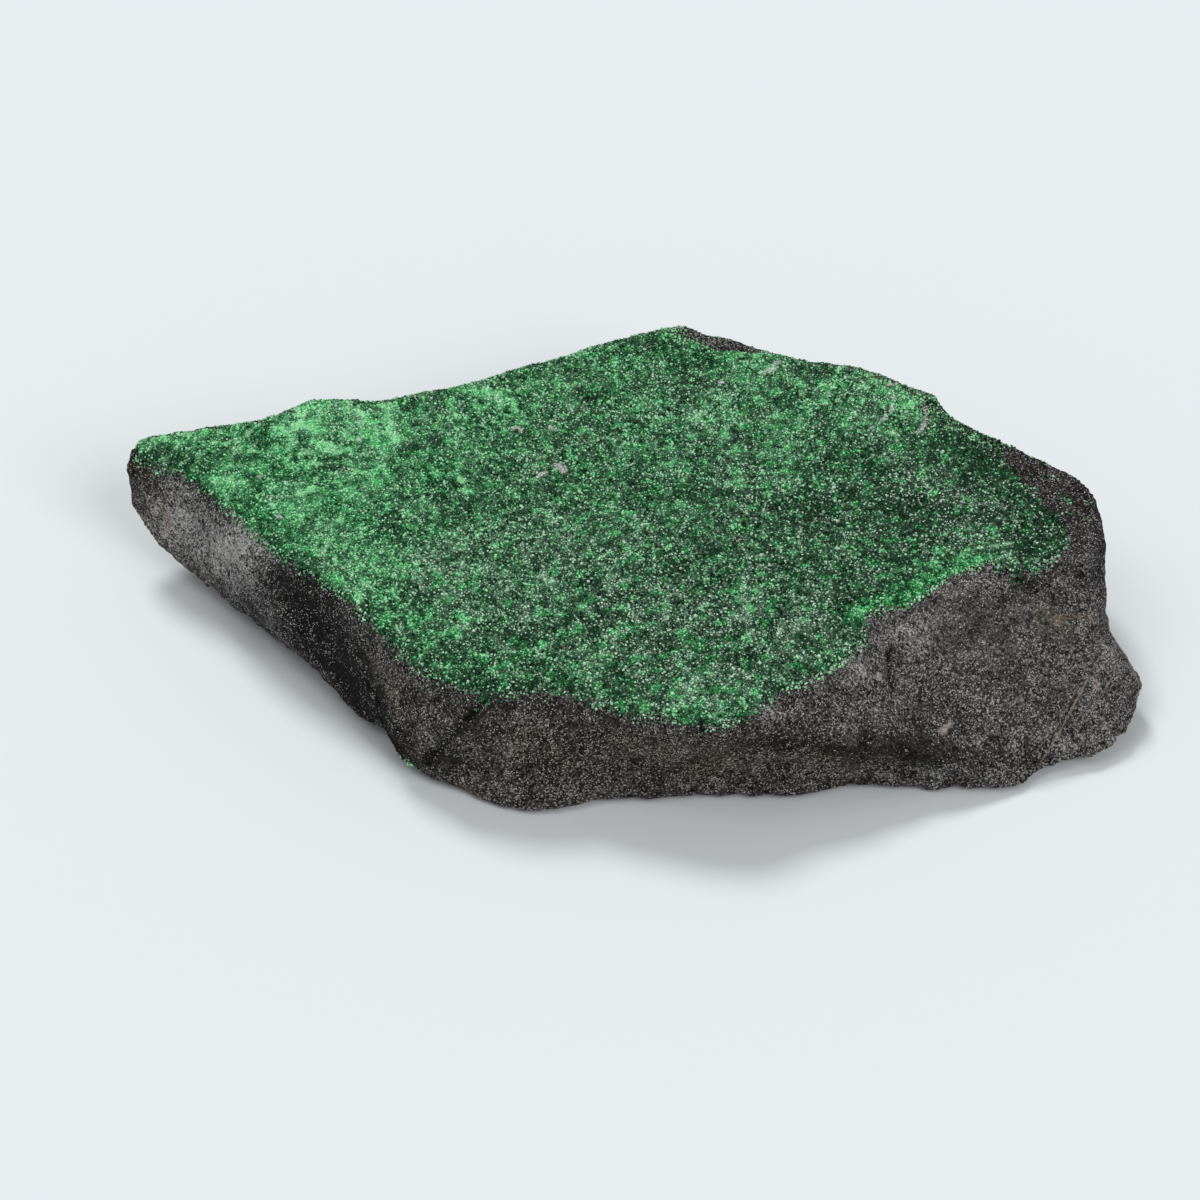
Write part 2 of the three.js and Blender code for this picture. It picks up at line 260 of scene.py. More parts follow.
class Finish:
    """A procedural material, built from nodes that read the surface's own place."""

    def __init__(self, name):
        self.material = bpy.data.materials.new(name)
        self.material.use_nodes = True
        self.tree = self.material.node_tree
        self.tree.nodes.clear()
        self.place = self.node("ShaderNodeTexCoord", {}, {}, "Object")

    def node(self, kind, settings, sockets, output=0):
        """Adds a node with its settings, then its sockets' values or links, and gives one output."""
        made = self.tree.nodes.new(kind)
        for name, value in settings.items():
            if name == "stops":
                self.set_stops(made.color_ramp.elements, value)
            else:
                setattr(made, name, value)
        for name, value in sockets.items():
            if isinstance(value, Link):
                self.tree.links.new(value.socket, made.inputs[name])
            else:
                made.inputs[name].default_value = value
        return Link(self, made.outputs[output]) if len(made.outputs) else made

    @staticmethod
    def set_stops(elements, stops):
        """Gives a ramp its colours: each stop has a position and a colour."""
        while len(elements) < len(stops):
            elements.new(1)
        for element, (position, colour) in zip(elements, stops):
            element.position = position
            element.color = (*colour, 1)

    def read(self, name):
        """A value kept on the mesh's own points."""
        return self.node("ShaderNodeAttribute", {"attribute_name": name}, {}, "Fac")

    def grain(self, size, detail=2, roughness=0.5, shift=0.0):
        """Soft noise from 0 to 1. A shift, in metres, keeps one noise apart from another."""
        sockets = {"Scale": 1 / (size * MM), "Detail": detail, "Roughness": roughness}
        where = self.moved(shift) if shift else self.place
        return self.node("ShaderNodeTexNoise", {}, {"Vector": where, **sockets}, "Fac")

    def cells(self, size, output="Distance", where=None):
        """Rounded grains of this size."""
        sockets = {"Vector": where or self.place, "Scale": 1 / (size * MM), "Randomness": 1}
        return self.node("ShaderNodeTexVoronoi", {"feature": "F1"}, sockets, output)

    def bent(self, size, depth):
        """Places moved about by noise of this size and depth, so that grains come out uneven."""
        sockets = {"Vector": self.place, "Scale": 1 / (size * MM), "Detail": 2}
        stirred = self.node("ShaderNodeTexNoise", {}, sockets, "Color")
        sockets = {0: stirred, 1: (depth * MM,) * 3, 2: self.place}
        return self.node("ShaderNodeVectorMath", {"operation": "MULTIPLY_ADD"}, sockets)

    def moved(self, shift):
        """Places moved by one distance along all three axes."""
        return self.node("ShaderNodeVectorMath", {"operation": "ADD"}, {0: self.place, 1: (shift,) * 3})

    def level(self, value, low, high, to_low=0.0, to_high=1.0):
        """A value spread from one range to another, and held within it."""
        sockets = {"Value": value, 1: low, 2: high, 3: to_low, 4: to_high}
        return self.node("ShaderNodeMapRange", {"clamp": True}, sockets)

    def ramp(self, value, stops):
        """The colour that a value has on a ramp."""
        return self.node("ShaderNodeValToRGB", {"stops": stops}, {"Fac": value}, "Color")

    def mix(self, share, first, second, blend="MIX"):
        """Mixes two colours, with the sockets that the node has for colours."""
        settings = {"data_type": "RGBA", "blend_type": blend}
        under, over = [value if isinstance(value, Link) else (*value, 1) for value in (first, second)]
        return self.node("ShaderNodeMix", settings, {0: share, 6: under, 7: over}, 2)

    def relief(self, height, depth):
        """A bump of this depth."""
        return self.node("ShaderNodeBump", {}, {"Height": height, "Distance": depth * MM, "Strength": 1})

    def surface(self, sockets):
        """Ends the material on one Principled shader."""
        shader = self.node("ShaderNodeBsdfPrincipled", {}, sockets)
        self.node("ShaderNodeOutputMaterial", {}, {"Surface": shader})
        return self.material


def rock_finish():
    """Broken chromite rock: a dark brownish grey ground full of fine pale flecks, brightened also as
    painted glints, and dark pits.
    """
    finish = Finish("chromite_rock")
    where = finish.bent(size=0.3, depth=0.25)
    cell = finish.cells(FLECK_SIZE, "Color", where)
    chance = finish.node("ShaderNodeSeparateColor", {}, {0: cell}, 0)
    other = finish.node("ShaderNodeSeparateColor", {}, {0: cell}, 1)
    middle = finish.level(finish.cells(FLECK_SIZE, "Distance", where), low=0.55, high=0.35)
    uneven = finish.grain(size=3.5, detail=3, shift=0.07) - 0.5
    clusters = finish.level(finish.grain(size=1.2, detail=3) + uneven, low=0.38, high=0.66)
    smooth = finish.level(finish.read("smooth") - SMOOTH_UNEVEN * uneven, low=0, high=1)

    often = FLECKS_APART + FLECKS_CLUSTERED * clusters
    # Pale flecks, made bright enough to stand partly for painted glints.
    flecks_and_glints = finish.level(chance, low=0.8, high=0.94) * middle * often * (1 - FLECKS_SMOOTHED * smooth)
    pits = finish.level(finish.grain(size=0.6, detail=3, roughness=0.7, shift=0.02), low=0.48, high=0.36)
    ground = finish.grain(size=0.21, detail=3, roughness=0.8) - 0.5
    broad = finish.grain(size=1.7, detail=2, shift=0.05) - 0.5
    tone = ROCK_BRIGHTNESS + finish.read("tone") + GROUND_CONTRAST * ground * (1 - GROUND_SMOOTHED * smooth)
    tone = tone + BROAD_CONTRAST * broad + CELL_CONTRAST * (other - 0.5)
    tone = tone + FLECK_AND_GLINT_BRIGHTNESS * flecks_and_glints - PIT_DARKNESS * pits
    grey = finish.ramp(tone, ROCK_GREYS)

    patches = finish.grain(size=5, detail=4, shift=0.03)
    patches = finish.level(patches, low=0.52, high=0.72, to_low=0, to_high=PATCH_STRENGTH)
    brown = finish.mix(patches + finish.read("brown"), grey, BROWN, "SOFT_LIGHT")
    rusty = finish.mix(finish.read("rust") * (0.35 + 3 * ground), brown, RUST)
    seamed = finish.mix(0.7 * seam_on(finish, where), rusty, SEAM_PALE)
    colour = finish.mix(finish.read("pale") * (0.7 + 2 * ground), seamed, PALE_STONE)
    return finish.surface({
        "Base Color": colour,
        "Specular IOR Level": 0.2,
        "Roughness": 0.85 - 0.5 * flecks_and_glints,
        "Normal": finish.relief(2 * ground + 0.5 * flecks_and_glints - 0.8 * pits, ROCK_RELIEF),
    })


def seam_on(finish, where):
    """Where the thin seam shows, from 0 to 1: near its plane, and along its line."""
    settings = {"operation": "DOT_PRODUCT"}
    along = finish.node("ShaderNodeVectorMath", settings, {0: where, 1: SEAM_ACROSS}, "Value")
    away = finish.node("ShaderNodeMath", {"operation": "ABSOLUTE"}, {0: along - SEAM_AWAY * MM})
    return finish.level(away, low=SEAM_OUTER * MM, high=SEAM_INNER * MM) * finish.read("seam")


def green_finish(name, grains, roughness):
    """Green garnet of the tones kept on its points, with finer grains over them and this roughness."""
    finish = Finish(name)
    fine = finish.grain(size=0.12, detail=2, roughness=0.6)
    lightness = finish.read("light")
    green = finish.ramp(finish.read("tone") + grains * (fine - 0.5) + LIGHT_RAISES * lightness, GREENS)
    duller = {"Saturation": 1 - finish.read("grey"), "Color": green}
    dulled = finish.node("ShaderNodeHueSaturation", {}, duller)
    light = finish.mix(LIGHT_COVERS * lightness, dulled, LIGHT_GREEN)
    return finish.surface({
        "Base Color": finish.mix(finish.read("stone"), light, PINK_GREY),
        "Specular IOR Level": 0.4,
        "Specular Tint": GREEN_SHINE,
        "Roughness": roughness,
        "Normal": finish.relief(finish.cells(size=0.2) + fine, GREEN_RELIEF * grains),
    })


def map_from_above(mesh):
    """Lays the surface out as it is seen from above, for baked colours."""
    points = points_of(mesh)[:, :2]
    low, high = points.min(0), points.max(0)
    corners = np.empty(len(mesh.loops), int)
    mesh.loops.foreach_get("vertex_index", corners)
    flat = (points[corners] - low) / (high - low)
    mesh.uv_layers.new(name="OFBake").data.foreach_set("uv", flat.ravel())


def new_piece(name, points, faces, material):
    """A mesh object that rides with the specimen."""
    mesh = bpy.data.meshes.new(name)
    mesh.from_pydata(points, [], faces)
    mesh.materials.append(material)
    map_from_above(mesh)
    piece = bpy.data.objects.new(name, mesh)
    bpy.context.collection.objects.link(piece)
    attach(piece, "root")
    return piece


def points_of(mesh):
    """A mesh's points as an array."""
    found = np.empty(len(mesh.vertices) * 3)
    mesh.vertices.foreach_get("co", found)
    return found.reshape(-1, 3)


def keep_values(mesh, name, values):
    """Keeps one number on each point of a mesh, for its material to read."""
    mesh.attributes.new(name, "FLOAT", "POINT").data.foreach_set("value", values)


def smooth_step(value, low, high):
    """A value from 0 at low to 1 at high, easing in and out."""
    share = np.clip((value - low) / (high - low), 0, 1)
    return share * share * (3 - 2 * share)


def noise_at(points, size, octaves=3, shift=0.0):
    """Noise between about -1 and 1. Each octave is half as large and half as strong as the last."""
    scale = 1 / size
    offset = Vector((shift, shift, shift))
    weakening, narrowing = 1.0, 2.0
    return np.array([
        noise.fractal(Vector(point) * scale + offset, weakening, narrowing, octaves)
        for point in points.tolist()
    ])


def chips_at(points):
    """Flat breaks: each cell of the rock is cut by a plane of its own."""
    made = []
    for point in points.tolist():
        where = Vector(point) / CHIP_SIZE
        middle = noise.voronoi(where)[1][0]
        tilt = noise.cell_vector(middle * TILT_STIR) * 2 - Vector((1, 1, 1))
        made.append((where - middle).dot(tilt))
    return np.array(made)


def distance_to(points, line):
    """How far each point is from a line through the given places, or from one place."""
    places = [np.array(place, float) for place in line]
    points = points[:, :len(places[0])]
    nearest = np.linalg.norm(points - places[0], axis=1)
    for start, end in zip(places, places[1:]):
        way = end - start
        share = np.clip((points - start) @ way / (way @ way), 0, 1)
        nearest = np.minimum(nearest, np.linalg.norm(points - start - share[:, None] * way, axis=1))
    return nearest


def strokes(points, marks):
    """The sum of soft strokes, each a line with its width and its strength."""
    return sum(change * np.exp(-(distance_to(points, line) / width) ** 2) for line, width, change in marks)


def ragged(points, marks, size, edge):
    """The greatest of strokes that have broken edges, from 0 to 1."""
    rough = edge * noise_at(points, size, octaves=3, shift=33)
    near = np.max([1 - distance_to(points, line) / width for line, width in marks], axis=0)
    return smooth_step(near + rough, low=0.3, high=0.55)


def welded_copy(node, name):
    """A copy of a CAD node's mesh as one closed skin."""
    mesh = bpy.data.meshes.new(name)
    skin = bmesh.new()
    skin.from_mesh(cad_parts[node].data)
    bmesh.ops.remove_doubles(skin, verts=skin.verts, dist=WELD_WITHIN * MM)
    skin.to_mesh(mesh)
    skin.free()
    piece = bpy.data.objects.new(name, mesh)
    bpy.context.collection.objects.link(piece)
    return piece


# Marks on the rock: lines or places, their width, and their depth or change.
ROCK_GROOVES = (
    (((-12.8, -23.9, 10), (-14.9, -24.4, 7.6), (-16, -23.7, 5.1), (-16.9, -23.6, 3.1)), 0.55, 0.5),
    (((40.8, -14.2, 5.8), (39.8, -15.7, 4.9), (38.9, -17.5, 3.4), (37.4, -19.6, 1.2)), 0.5, 0.25),
    (((23.3, -14.9, 9.9), (23.4, -17.6, 9.0), (23.5, -20.1, 7.7)), 0.5, 0.3),
)
# Changes of tone on the rock. Several are painted shade or painted highlights, as marked below.
ROCK_TONES_AND_PAINTED_LIGHT = (
    # Painted shade: a dark band under the overhang along the front, on the right.
    (
        ((9.5, -26, 9.1), (14.8, -24.6, 7.4), (18.9, -24, 6.5), (23.4, -23, 5.2), (31.6, -21.3, 2.5)),
        1.1, -0.22,
    ),
    # Painted shade under the crust's front edge.
    (((-10, -23.8, 10.5), (-6.5, -24, 10.2)), 1.1, -0.16),
    (((-14.5, -23.3, 10.5), (-12.5, -23.6, 10.2)), 1.0, 0.12),
    (((-19, -22.4, 4), (-17.5, -23.4, 5)), 1.4, 0.10),
    (((2.3, -24.4, 3), (2.8, -24.4, 0.8)), 1.7, -0.2),
    (((7, -24.2, 2.5),), 1.5, 0.10),
    (((39, -18.5, 2.2), (42.5, -16, 2.8)), 1.6, 0.15),
    (((34.5, -19.8, 3.6), (39, -18.3, 2.8)), 1.5, 0.08),
    (((34, -15.5, 7.3), (38.5, -15, 6.4)), 1.8, -0.10),
    # Painted highlights along the front rim and the ridge below it, in the next three marks.
    (((12, -24.2, 10.4), (15.5, -22, 10.8), (20.4, -18.6, 10.8)), 1.2, 0.12),
    (((11.5, -24.2, 10.4), (13, -23.8, 10.2)), 1.0, 0.12),
    (((15, -24, 9.2), (19.5, -23.2, 8), (24.5, -22, 6.7)), 0.8, 0.09),
    # Painted light: the low strip along the front foot is made lighter where it faces up.
    (((-5.5, -25.7, 1.9), (6.8, -24.2, 2), (24.3, -22.3, 2.1), (31.3, -21.9, 2.5)), 1.6, 0.12),
    # Painted shade in the undercut low on the left of the front.
    (
        ((-28, -10.6, 9.2), (-26.7, -12.1, 7), (-24.8, -15.1, 5.1), (-22.8, -18.2, 3.8), (-21, -20.5, 3)),
        3.5, -0.52,
    ),
    (((-42, 3.5, 7.5), (-36.5, -2, 8.5), (-34, -4.3, 11)), 3.5, 0.41),
    (((-45.4, 7.2, 10.9), (-43.5, 5.2, 9.5)), 2.0, -0.17),
    (((-38.3, 0.4, 9.2),), 0.8, -0.35),
    (((26.7, -12, 10.9), (25.1, -13.6, 10.2), (22.7, -15.1, 10.1), (21.3, -17.7, 10.8)), 1.8, 0.05),
    (((29.4, -8, 11.8), (33, -6.5, 11.8)), 1.5, 0.06),
    (((24, -13, 11), (32, -14, 8), (41, -12, 6)), 6.5, 0.19),
    (((28, 15, 12.5), (33, 11, 12.5), (38, 7, 12.5), (42, 1, 12.5)), 3.0, -0.1),
    # Painted shade: dark lines along the crease and the groove on the front.
    (((-12.4, -23.8, 10.4), (-14.9, -24.4, 7.6), (-16.9, -23.6, 3.1)), 0.4, -0.3),
    (((23.2, -14.6, 10.1), (23.4, -18, 8.9)), 0.35, -0.3),
    (((-20.5, -19.9, 8.5), (-18.7, -22, 6)), 2.2, 0.13),
)
ROCK_BROWNS = (
    (((-44.9, 5.7, 10.4), (-43.5, 3.9, 7.9)), 2.5, 0.5),
    (((-20.5, -19.9, 8.5), (-17.8, -22.5, 7.4), (-18.7, -22.5, 5)), 2.5, 0.5),
    (((-9, -25, 6), (6, -25.5, 6), (20, -23, 5)), 4.5, 0.5),
    (((36.6, -10, 9.7), (42, -9, 8.8)), 1.2, 0.5),
    (((31.8, -12.8, 9.1),), 1.8, 0.2),
)
# Where the rock is smoother, with few flecks.
ROCK_SMOOTH = (
    (((24, -13, 11), (32, -14, 8), (41, -12, 6)), 6.0, 0.45),
    (((27.6, -13.1, 9.8), (32.1, -11.6, 9.8), (37.5, -9.8, 9.6)), 1.4, 0.8),
    (((2.3, -24.4, 3),), 1.2, 0.8),
    (((6.5, -24.1, 2.8),), 1.0, 0.7),
    (((-15.3, -23.7, 3.5),), 1.3, 0.8),
    (((20.5, -23.6, 6.9), (29.5, -20.9, 3.9)), 1.2, 0.6),
    (((-45.4, 7.2, 10.9), (-43.5, 5.2, 9.5)), 2.0, 0.6),
)
# Pale and rusty marks: lines or places, and how far they reach.
ROCK_PALES = (
    (((27.9, -20, 5.3), (28.5, -19, 5.3)), 0.45),
    (((41.7, -14, 5.6), (41.8, -13.6, 5.8)), 0.4),
    (((43.8, -12.5, 5.4),), 0.3),
)
ROCK_RUSTS = (
    (((-41.9, 2.9, 8.5), (-41.7, 2.9, 7.2)), 0.6),
    (((38.1, -10.2, 9.3), (39.6, -9.3, 9.4), (41.5, -8.9, 9)), 0.5),
)
# A thin seam: the line it follows on the right, the plane that it lies in, how far off that plane it shows,
# and how far off its line.
SEAM_LINE = ((40.8, -14.3, 5.7), (39.3, -16.3, 4.6), (38.2, -17.9, 3.2), (37.4, -19.2, 1.8))
SEAM_ACROSS = (0.809, -0.100, -0.579)
SEAM_AWAY = 30.96
SEAM_INNER, SEAM_OUTER = 0.05, 0.12
SEAM_REACH = 1.5

# Small corrections of the whole outline: a place, how far around it they reach, and the move.
PUSHES = (
    ((-45, 8.5, 12), 3.5, (-0.2, 0.7, 0.7)),
    ((-38, 10, 12), 4, (0, 0.5, 0)),
    ((-22, 13.5, 12), 9, (0, 0.6, 0.1)),
    ((-13, 17.5, 12), 5, (0, 0.45, 0)),
    ((0, 22, 12), 5, (0, 0.25, 0)),
    ((9.5, 24, 12), 3, (0, 0.8, 0)),
    ((21, 20.5, 12), 3, (0, 0.5, 0)),
    ((28, 15.5, 12), 2.5, (0, 1.2, 0)),
    ((41.5, 4, 12), 3, (0.3, 0.6, 0)),
    ((44.5, -10, 8), 3, (-0.6, -1.1, 0)),
    ((43.5, -14.5, 2.5), 2.5, (0.2, -0.7, 0)),
    ((-23, -18.5, 2.5), 4, (0.9, 0.7, 0)),
)


def pushed(points):
    """The points after the corrections of the outline."""
    moved = points.copy()
    for place, reach, move in PUSHES:
        near = np.exp(-(distance_to(points, (place,)) / reach) ** 2)
        moved += near[:, None] * np.array(move)
    return moved


def make_rock(material):
    """The chromite slab, remeshed finely and broken up with lumps, chips and grooves."""
    rough = welded_copy("chromite_matrix", "rough_rock")
    remesh = rough.modifiers.new("grain", "REMESH")
    remesh.mode = "VOXEL"
    remesh.voxel_size = ROCK_GRAIN * MM
    shaped = rough.evaluated_get(bpy.context.evaluated_depsgraph_get())
    mesh = bpy.data.meshes.new_from_object(shaped)
    bpy.data.objects.remove(rough)
    mesh.name = "chromite_slab"

    points = points_of(mesh) / MM
    normals = np.empty(len(mesh.vertices) * 3)
    mesh.vertices.foreach_get("normal", normals)
    normals = normals.reshape(-1, 3)
    draw = np.random.default_rng(ROCK_SEED)
    height = sum(depth * noise_at(points, size, octaves=2, shift=size) for size, depth in LUMPS)
    height += CHIP_DEPTH * chips_at(points)
    height -= strokes(points, ROCK_GROOVES)
    top = smooth_step(normals[:, 2], LEVEL_FROM, LEVEL_TO) * (points[:, 2] > TOP_ABOVE)
    base = smooth_step(-normals[:, 2], LEVEL_FROM, LEVEL_TO) * (points[:, 2] < BASE_BELOW)
    height *= 1 - TOP_FLATTENED * top
    height = np.where(base > 0.5, -np.abs(height), height)
    moved = pushed(points) + normals * height[:, None] + ROCK_JITTER * draw.uniform(-1, 1, points.shape)
    moved[:, 2] += ROCK_LIFT * top
    moved[:, 2] = np.maximum(moved[:, 2], LOWEST)
    mesh.vertices.foreach_set("co", (moved * MM).ravel())
    mesh.materials.clear()
    mesh.materials.append(material)
    clouds = 0.06 * noise_at(points, size=5, octaves=3, shift=50)
    # The tone holds the listed marks, several of them painted shade or painted light, and painted shade in
    # the hollows with painted light on the lumps.
    keep_values(mesh, "tone", strokes(points, ROCK_TONES_AND_PAINTED_LIGHT) + clouds + RELIEF_PAINTED_SHADE * height)
    keep_values(mesh, "brown", strokes(points, ROCK_BROWNS))
    keep_values(mesh, "smooth", strokes(points, ROCK_SMOOTH).clip(0, 1))
    keep_values(mesh, "pale", 0.9 * ragged(points, ROCK_PALES, size=0.5, edge=0.4))
    keep_values(mesh, "rust", ragged(points, ROCK_RUSTS, size=0.5, edge=0.5))
    keep_values(mesh, "seam", smooth_step(SEAM_REACH - distance_to(points, SEAM_LINE), 0, 1))
    rock = bpy.data.objects.new("chromite_slab", mesh)
    bpy.context.collection.objects.link(rock)
    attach(rock, "root")
    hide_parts("chromite_matrix")
    return rock


def tree_of(piece):
    """A piece's surface, ready for rays."""
    skin = bmesh.new()
    skin.from_mesh(piece.data)
    tree = BVHTree.FromBMesh(skin)
    skin.free()
    return tree


# Marks on the crystal face: lines or places, their width, and their change.
FACE_TONES = (
    (((-36, 6), (-26, 8), (-18, 12)), 6.0, 0.08),
    (((-36, 0.5), (-30, 0)), 2.5, 0.10),
    (((-31, 9.5), (-23, 10)), 2.5, 0.18),
    (((-14, 15), (-9, 15.5)), 2.5, 0.12),
    (((-14, 10), (-10, 10)), 2.5, 0.06),
    (((-31, 5), (-26, 5)), 2.5, -0.04),
    (((-44.5, 8.6), (-36, 11)), 2.2, 0.26),
    (((-41, 6.3), (-36, 5.5)), 1.6, -0.12),
    (((-34, 4.3), (-32.5, 4.3)), 2.2, 0.11),
    (((-18.2, 8.3), (-18, 0.2)), 1.3, -0.08),
    (((-10, 14), (0, 19), (12, 20)), 4.0, 0.08),
    (((6.8, 12.4), (11.4, 22.7)), 1.5, 0.10),
    (((13.5, 15.5), (17, 16.2), (24, 16.3)), 3.0, 0.10),
    (((-3.5, 15.5),), 2.0, -0.08),
    (((0, 10.5),), 2.0, -0.07),
    (((20.5, -13), (24.2, -11), (27.4, -8.8), (29, -7.4), (31.6, -5.8)), 0.9, 0.24),
    (((3, -22.8), (8.2, -23.7)), 2.2, 0.12),
    (((-12.6, -22.1), (-5.7, -22.9)), 1.2, -0.08),
    (((15, 0), (19, -5), (19, -12)), 4.5, -0.09),
    (((-27, -3), (-19, -8.5)), 4.0, 0.11),
    (((-29, -5), (-23, -10)), 2.6, 0.13),
    (((-18, 12), (-8, 13)), 4.0, 0.03),
    (((4, 10), (16, 11)), 3.5, 0.12),
    (((-13, 5),), 2.5, 0.06),
    (((6.5, 5.8),), 2.5, 0.06),
    (((13, 8), (20, 9)), 3.5, 0.05),
    (((-16.5, -4.9), (-3.3, -4.4)), 2.5, 0.07),
    (((-3.3, 0.5), (0, 0.5)), 2.5, 0.06),
    (((-1, -5), (10, -4.5)), 3.0, 0.06),
    (((22, 1.5), (26, 1.5)), 2.5, -0.05),
    (((27, 7), (31, 6.5)), 2.5, -0.12),
    (((26.5, 11.5), (32, 10.5), (37, 5.5)), 2.2, -0.13),
    (((20, 1.8),), 2.5, -0.06),
    (((-10, -17.5),), 2.5, -0.07),
    (((26, -7),), 2.0, -0.05),
    (((36, 4), (39, -1), (41, -5)), 3.5, -0.13),
    (((33, 1.8), (36.3, 1.8)), 2.5, -0.13),
    (((33.5, -2), (36, -3)), 2.5, -0.2),
    (((25, 0), (27, 3)), 2.5, -0.05),
    (((9, 2), (27, 1)), 2.0, -0.05),
    (((-1, -9), (4, -10)), 2.0, -0.04),
    (((-26.5, -10), (-23, -10)), 2.5, 0.06),
    (((-6.6, -9.3), (-6.6, -14)), 2.0, 0.10),
    (((-16.5, -14.4), (-13.2, -14.4)), 2.2, 0.09),
    (((-3.3, -18.6),), 2.0, 0.08),
    (((-20, -12), (-13, -17)), 2.5, 0.04),
    (((-2, 6), (4, 6)), 2.0, 0.05),
    (((-34, 13), (-25, 12.5)), 2.5, 0.12),
    (((-22, 9), (-23, 1)), 2.5, 0.12),
    (((-41, 6.8), (-35, 1), (-30, -3)), 1.8, 0.07),
    (((25.2, 16.7), (26.5, 14.6), (26.9, 11.8), (24.6, 11.7)), 1.7, 0.17),
    (((-6, -7.3), (1.1, -9.6), (6.4, -12)), 3.0, -0.05),
    (((10.3, -9.3), (10.6, -16.7)), 0.6, 0.14),
    (((-15.3, 3), (-14.4, -15.2)), 0.6, 0.12),
    (((-12.9, -19.2), (-7.2, -18.2)), 0.25, 0.25),
    # Painted shade: a tiny dark pit at one end of the crack.
    (((-11.5, -18.8),), 0.35, -0.9),
)
FACE_GREYS = (
    (((-8, -10), (4, -14), (16, -12)), 11.0, 0.22),
    (((4, -20), (14, -18)), 5.0, 0.08),
    (((10, 2), (20, 2), (30, -2)), 7.0, 0.12),
    (((-2, 8), (6, 14)), 7.0, 0.08),
    (((-30, 4),), 10.0, -0.12),
    (((30, 3), (36, 0), (38, -4)), 7.0, 0.22),
    (((20, -13), (27.4, -8.8), (31.6, -5.8)), 1.3, -0.45),
)
# Light green marks, and further down marks of pinkish grey stone: lines or places, and their reach.
LIGHT_MARKS = (
    (((-30.6, 11.8), (-29.8, 11.2)), 0.75),
    (((-30.3, 9.9), (-29.6, 9.3)), 0.8),
    (((-30.6, 13.8), (-28, 14.3)), 0.5),
    (((-27.6, 7.1), (-26.8, 6.6)), 0.95),
    (((-25.9, 8.9),), 0.5),
    (((-29.3, 0.4), (-28.6, 0.9)), 0.6),
    (((-34.4, 6.2),), 0.55),
    (((-35.2, 1.9),), 0.5),
    (((-25.3, 5),), 0.45),
    (((-15, 3),), 0.55),
    (((29.7, -4.6), (35.1, -3.3)), 0.1),
    (((33.8, 5), (37, 4.6)), 0.1),
    (((33.9, 7.9),), 0.5),
    (((12.7, -23), (14.8, -21.4), (17.4, -20.2), (19, -18.6)), 0.3),
    (((21.3, -12.4), (24.2, -11.8), (27.4, -9), (29, -7.8), (31.6, -6)), 0.15),
)
# Where more light blotches are strewn: a line, its width and how light they are.
LIGHT_AREA = (
    (((-44, 8.6), (-38, 10), (-31, 7), (-26, 10)), 5.0, 0.8),
    (((-36, 0), (-30, 1)), 3.5, 0.4),
    (((22, 14), (26, 13)), 3.0, 0.6),
)
STONE_MARKS = (
    (((-24.6, 8.2),), 0.4),
    (((-33.4, 2.8),), 0.4),
    (((-31.2, -2.6),), 0.5),
    (((-10.6, 10.6), (-9.8, 10)), 0.35),
    (((-6.6, 5.7), (-6, 4.9)), 0.5),
    (((-8.4, 4.1), (-7.6, 4.6)), 0.3),
    (((-7.3, 10.9), (-6.8, 10.5)), 0.3),
    (((12.3, 19.5), (13.7, 21.3)), 0.35),
    (((8.2, 18),), 0.4),
    (((24, 18.2),), 0.6),
    (((24.1, 16.5), (23.9, 14.5), (22.6, 12.4), (21.7, 11.6)), 0.16),
    (((27.1, 15.2), (26.9, 12.5), (26.2, 11.5)), 0.25),
)
# Where the crust stops short of the rim and leaves it bare: lines, their width, and how far it stops short.
RETREATS = (
    (((5.5, 26.5), (10.5, 23.5)), 2.0, 1.0),
    (((17, 21.5), (22, 20)), 1.5, 0.5),
    (((39.3, 4.2), (40.4, 1), (41.8, -3)), 3.4, 3.9),
)
# The far rim: left of the split crystals cover it, right of it they dot it, and on one stretch they reach
# over the crust's edge.
RIM_SPLIT = 5
COVERED_BEHIND = 8.5
OVERGROWN_FROM, OVERGROWN_TO = 12, 34
OVERGROWN_BEHIND = 3
DOTTED_SHARE = 0.7
FIELD_MARGIN = 1.5
# A small patch of crystals low on the left of the front.
LOW_PATCH = ((-20.2, -21.2, 1.3), (-18.4, -22.5, 1.1))
LOW_CRYSTALS = 70
LOW_SPREAD = 0.3


def vivid_at(points):
    """Where the green is purer, in small patches, from 0 to 1."""
    return smooth_step(noise_at(points, size=1.0, octaves=2, shift=80), low=0.08, high=0.4)


def tone_at(points):
    """How bright the crystals are, from 0 to 1."""
    broad = 0.12 * noise_at(points, size=6, octaves=2)
    broad = broad + 0.20 * noise_at(points, size=2.0, octaves=3, shift=9)
    clumps = 0.33 * noise_at(points, size=0.65, octaves=2, shift=21) + 0.20 * vivid_at(points)
    return FACE_BRIGHTNESS + broad + clumps + strokes(points, FACE_TONES)


def grey_at(points):
    """How grey the green is, from 0 to 1. The vivid patches are hardly grey."""
    clouds = 0.12 * noise_at(points, size=4, octaves=2, shift=70)
    greys = FACE_GREYNESS + strokes(points, FACE_GREYS) + clouds
    return (greys * (1.15 - 1.1 * vivid_at(points))).clip(0, 1)


def keep_face_values(mesh, points, tones, greys, marked=1.0):
    """Keeps on the mesh what the green material reads, with its light and stony marks at this strength."""
    keep_values(mesh, "tone", tones)
    keep_values(mesh, "grey", greys)
    # A mark varies a little from one crystal to the next, with their tones.
    uneven = marked * (0.8 + 0.2 * np.sin(40 * tones))
    blotches = smooth_step(noise_at(points, size=1.3, octaves=3, shift=90), low=0.28, high=0.5)
    blotches = blotches * strokes(points, LIGHT_AREA)
    light = np.maximum(ragged(points, LIGHT_MARKS, size=0.6, edge=0.9), blotches)
    keep_values(mesh, "light", uneven * light)
    keep_values(mesh, "stone", uneven * ragged(points, STONE_MARKS, size=0.6, edge=0.9))


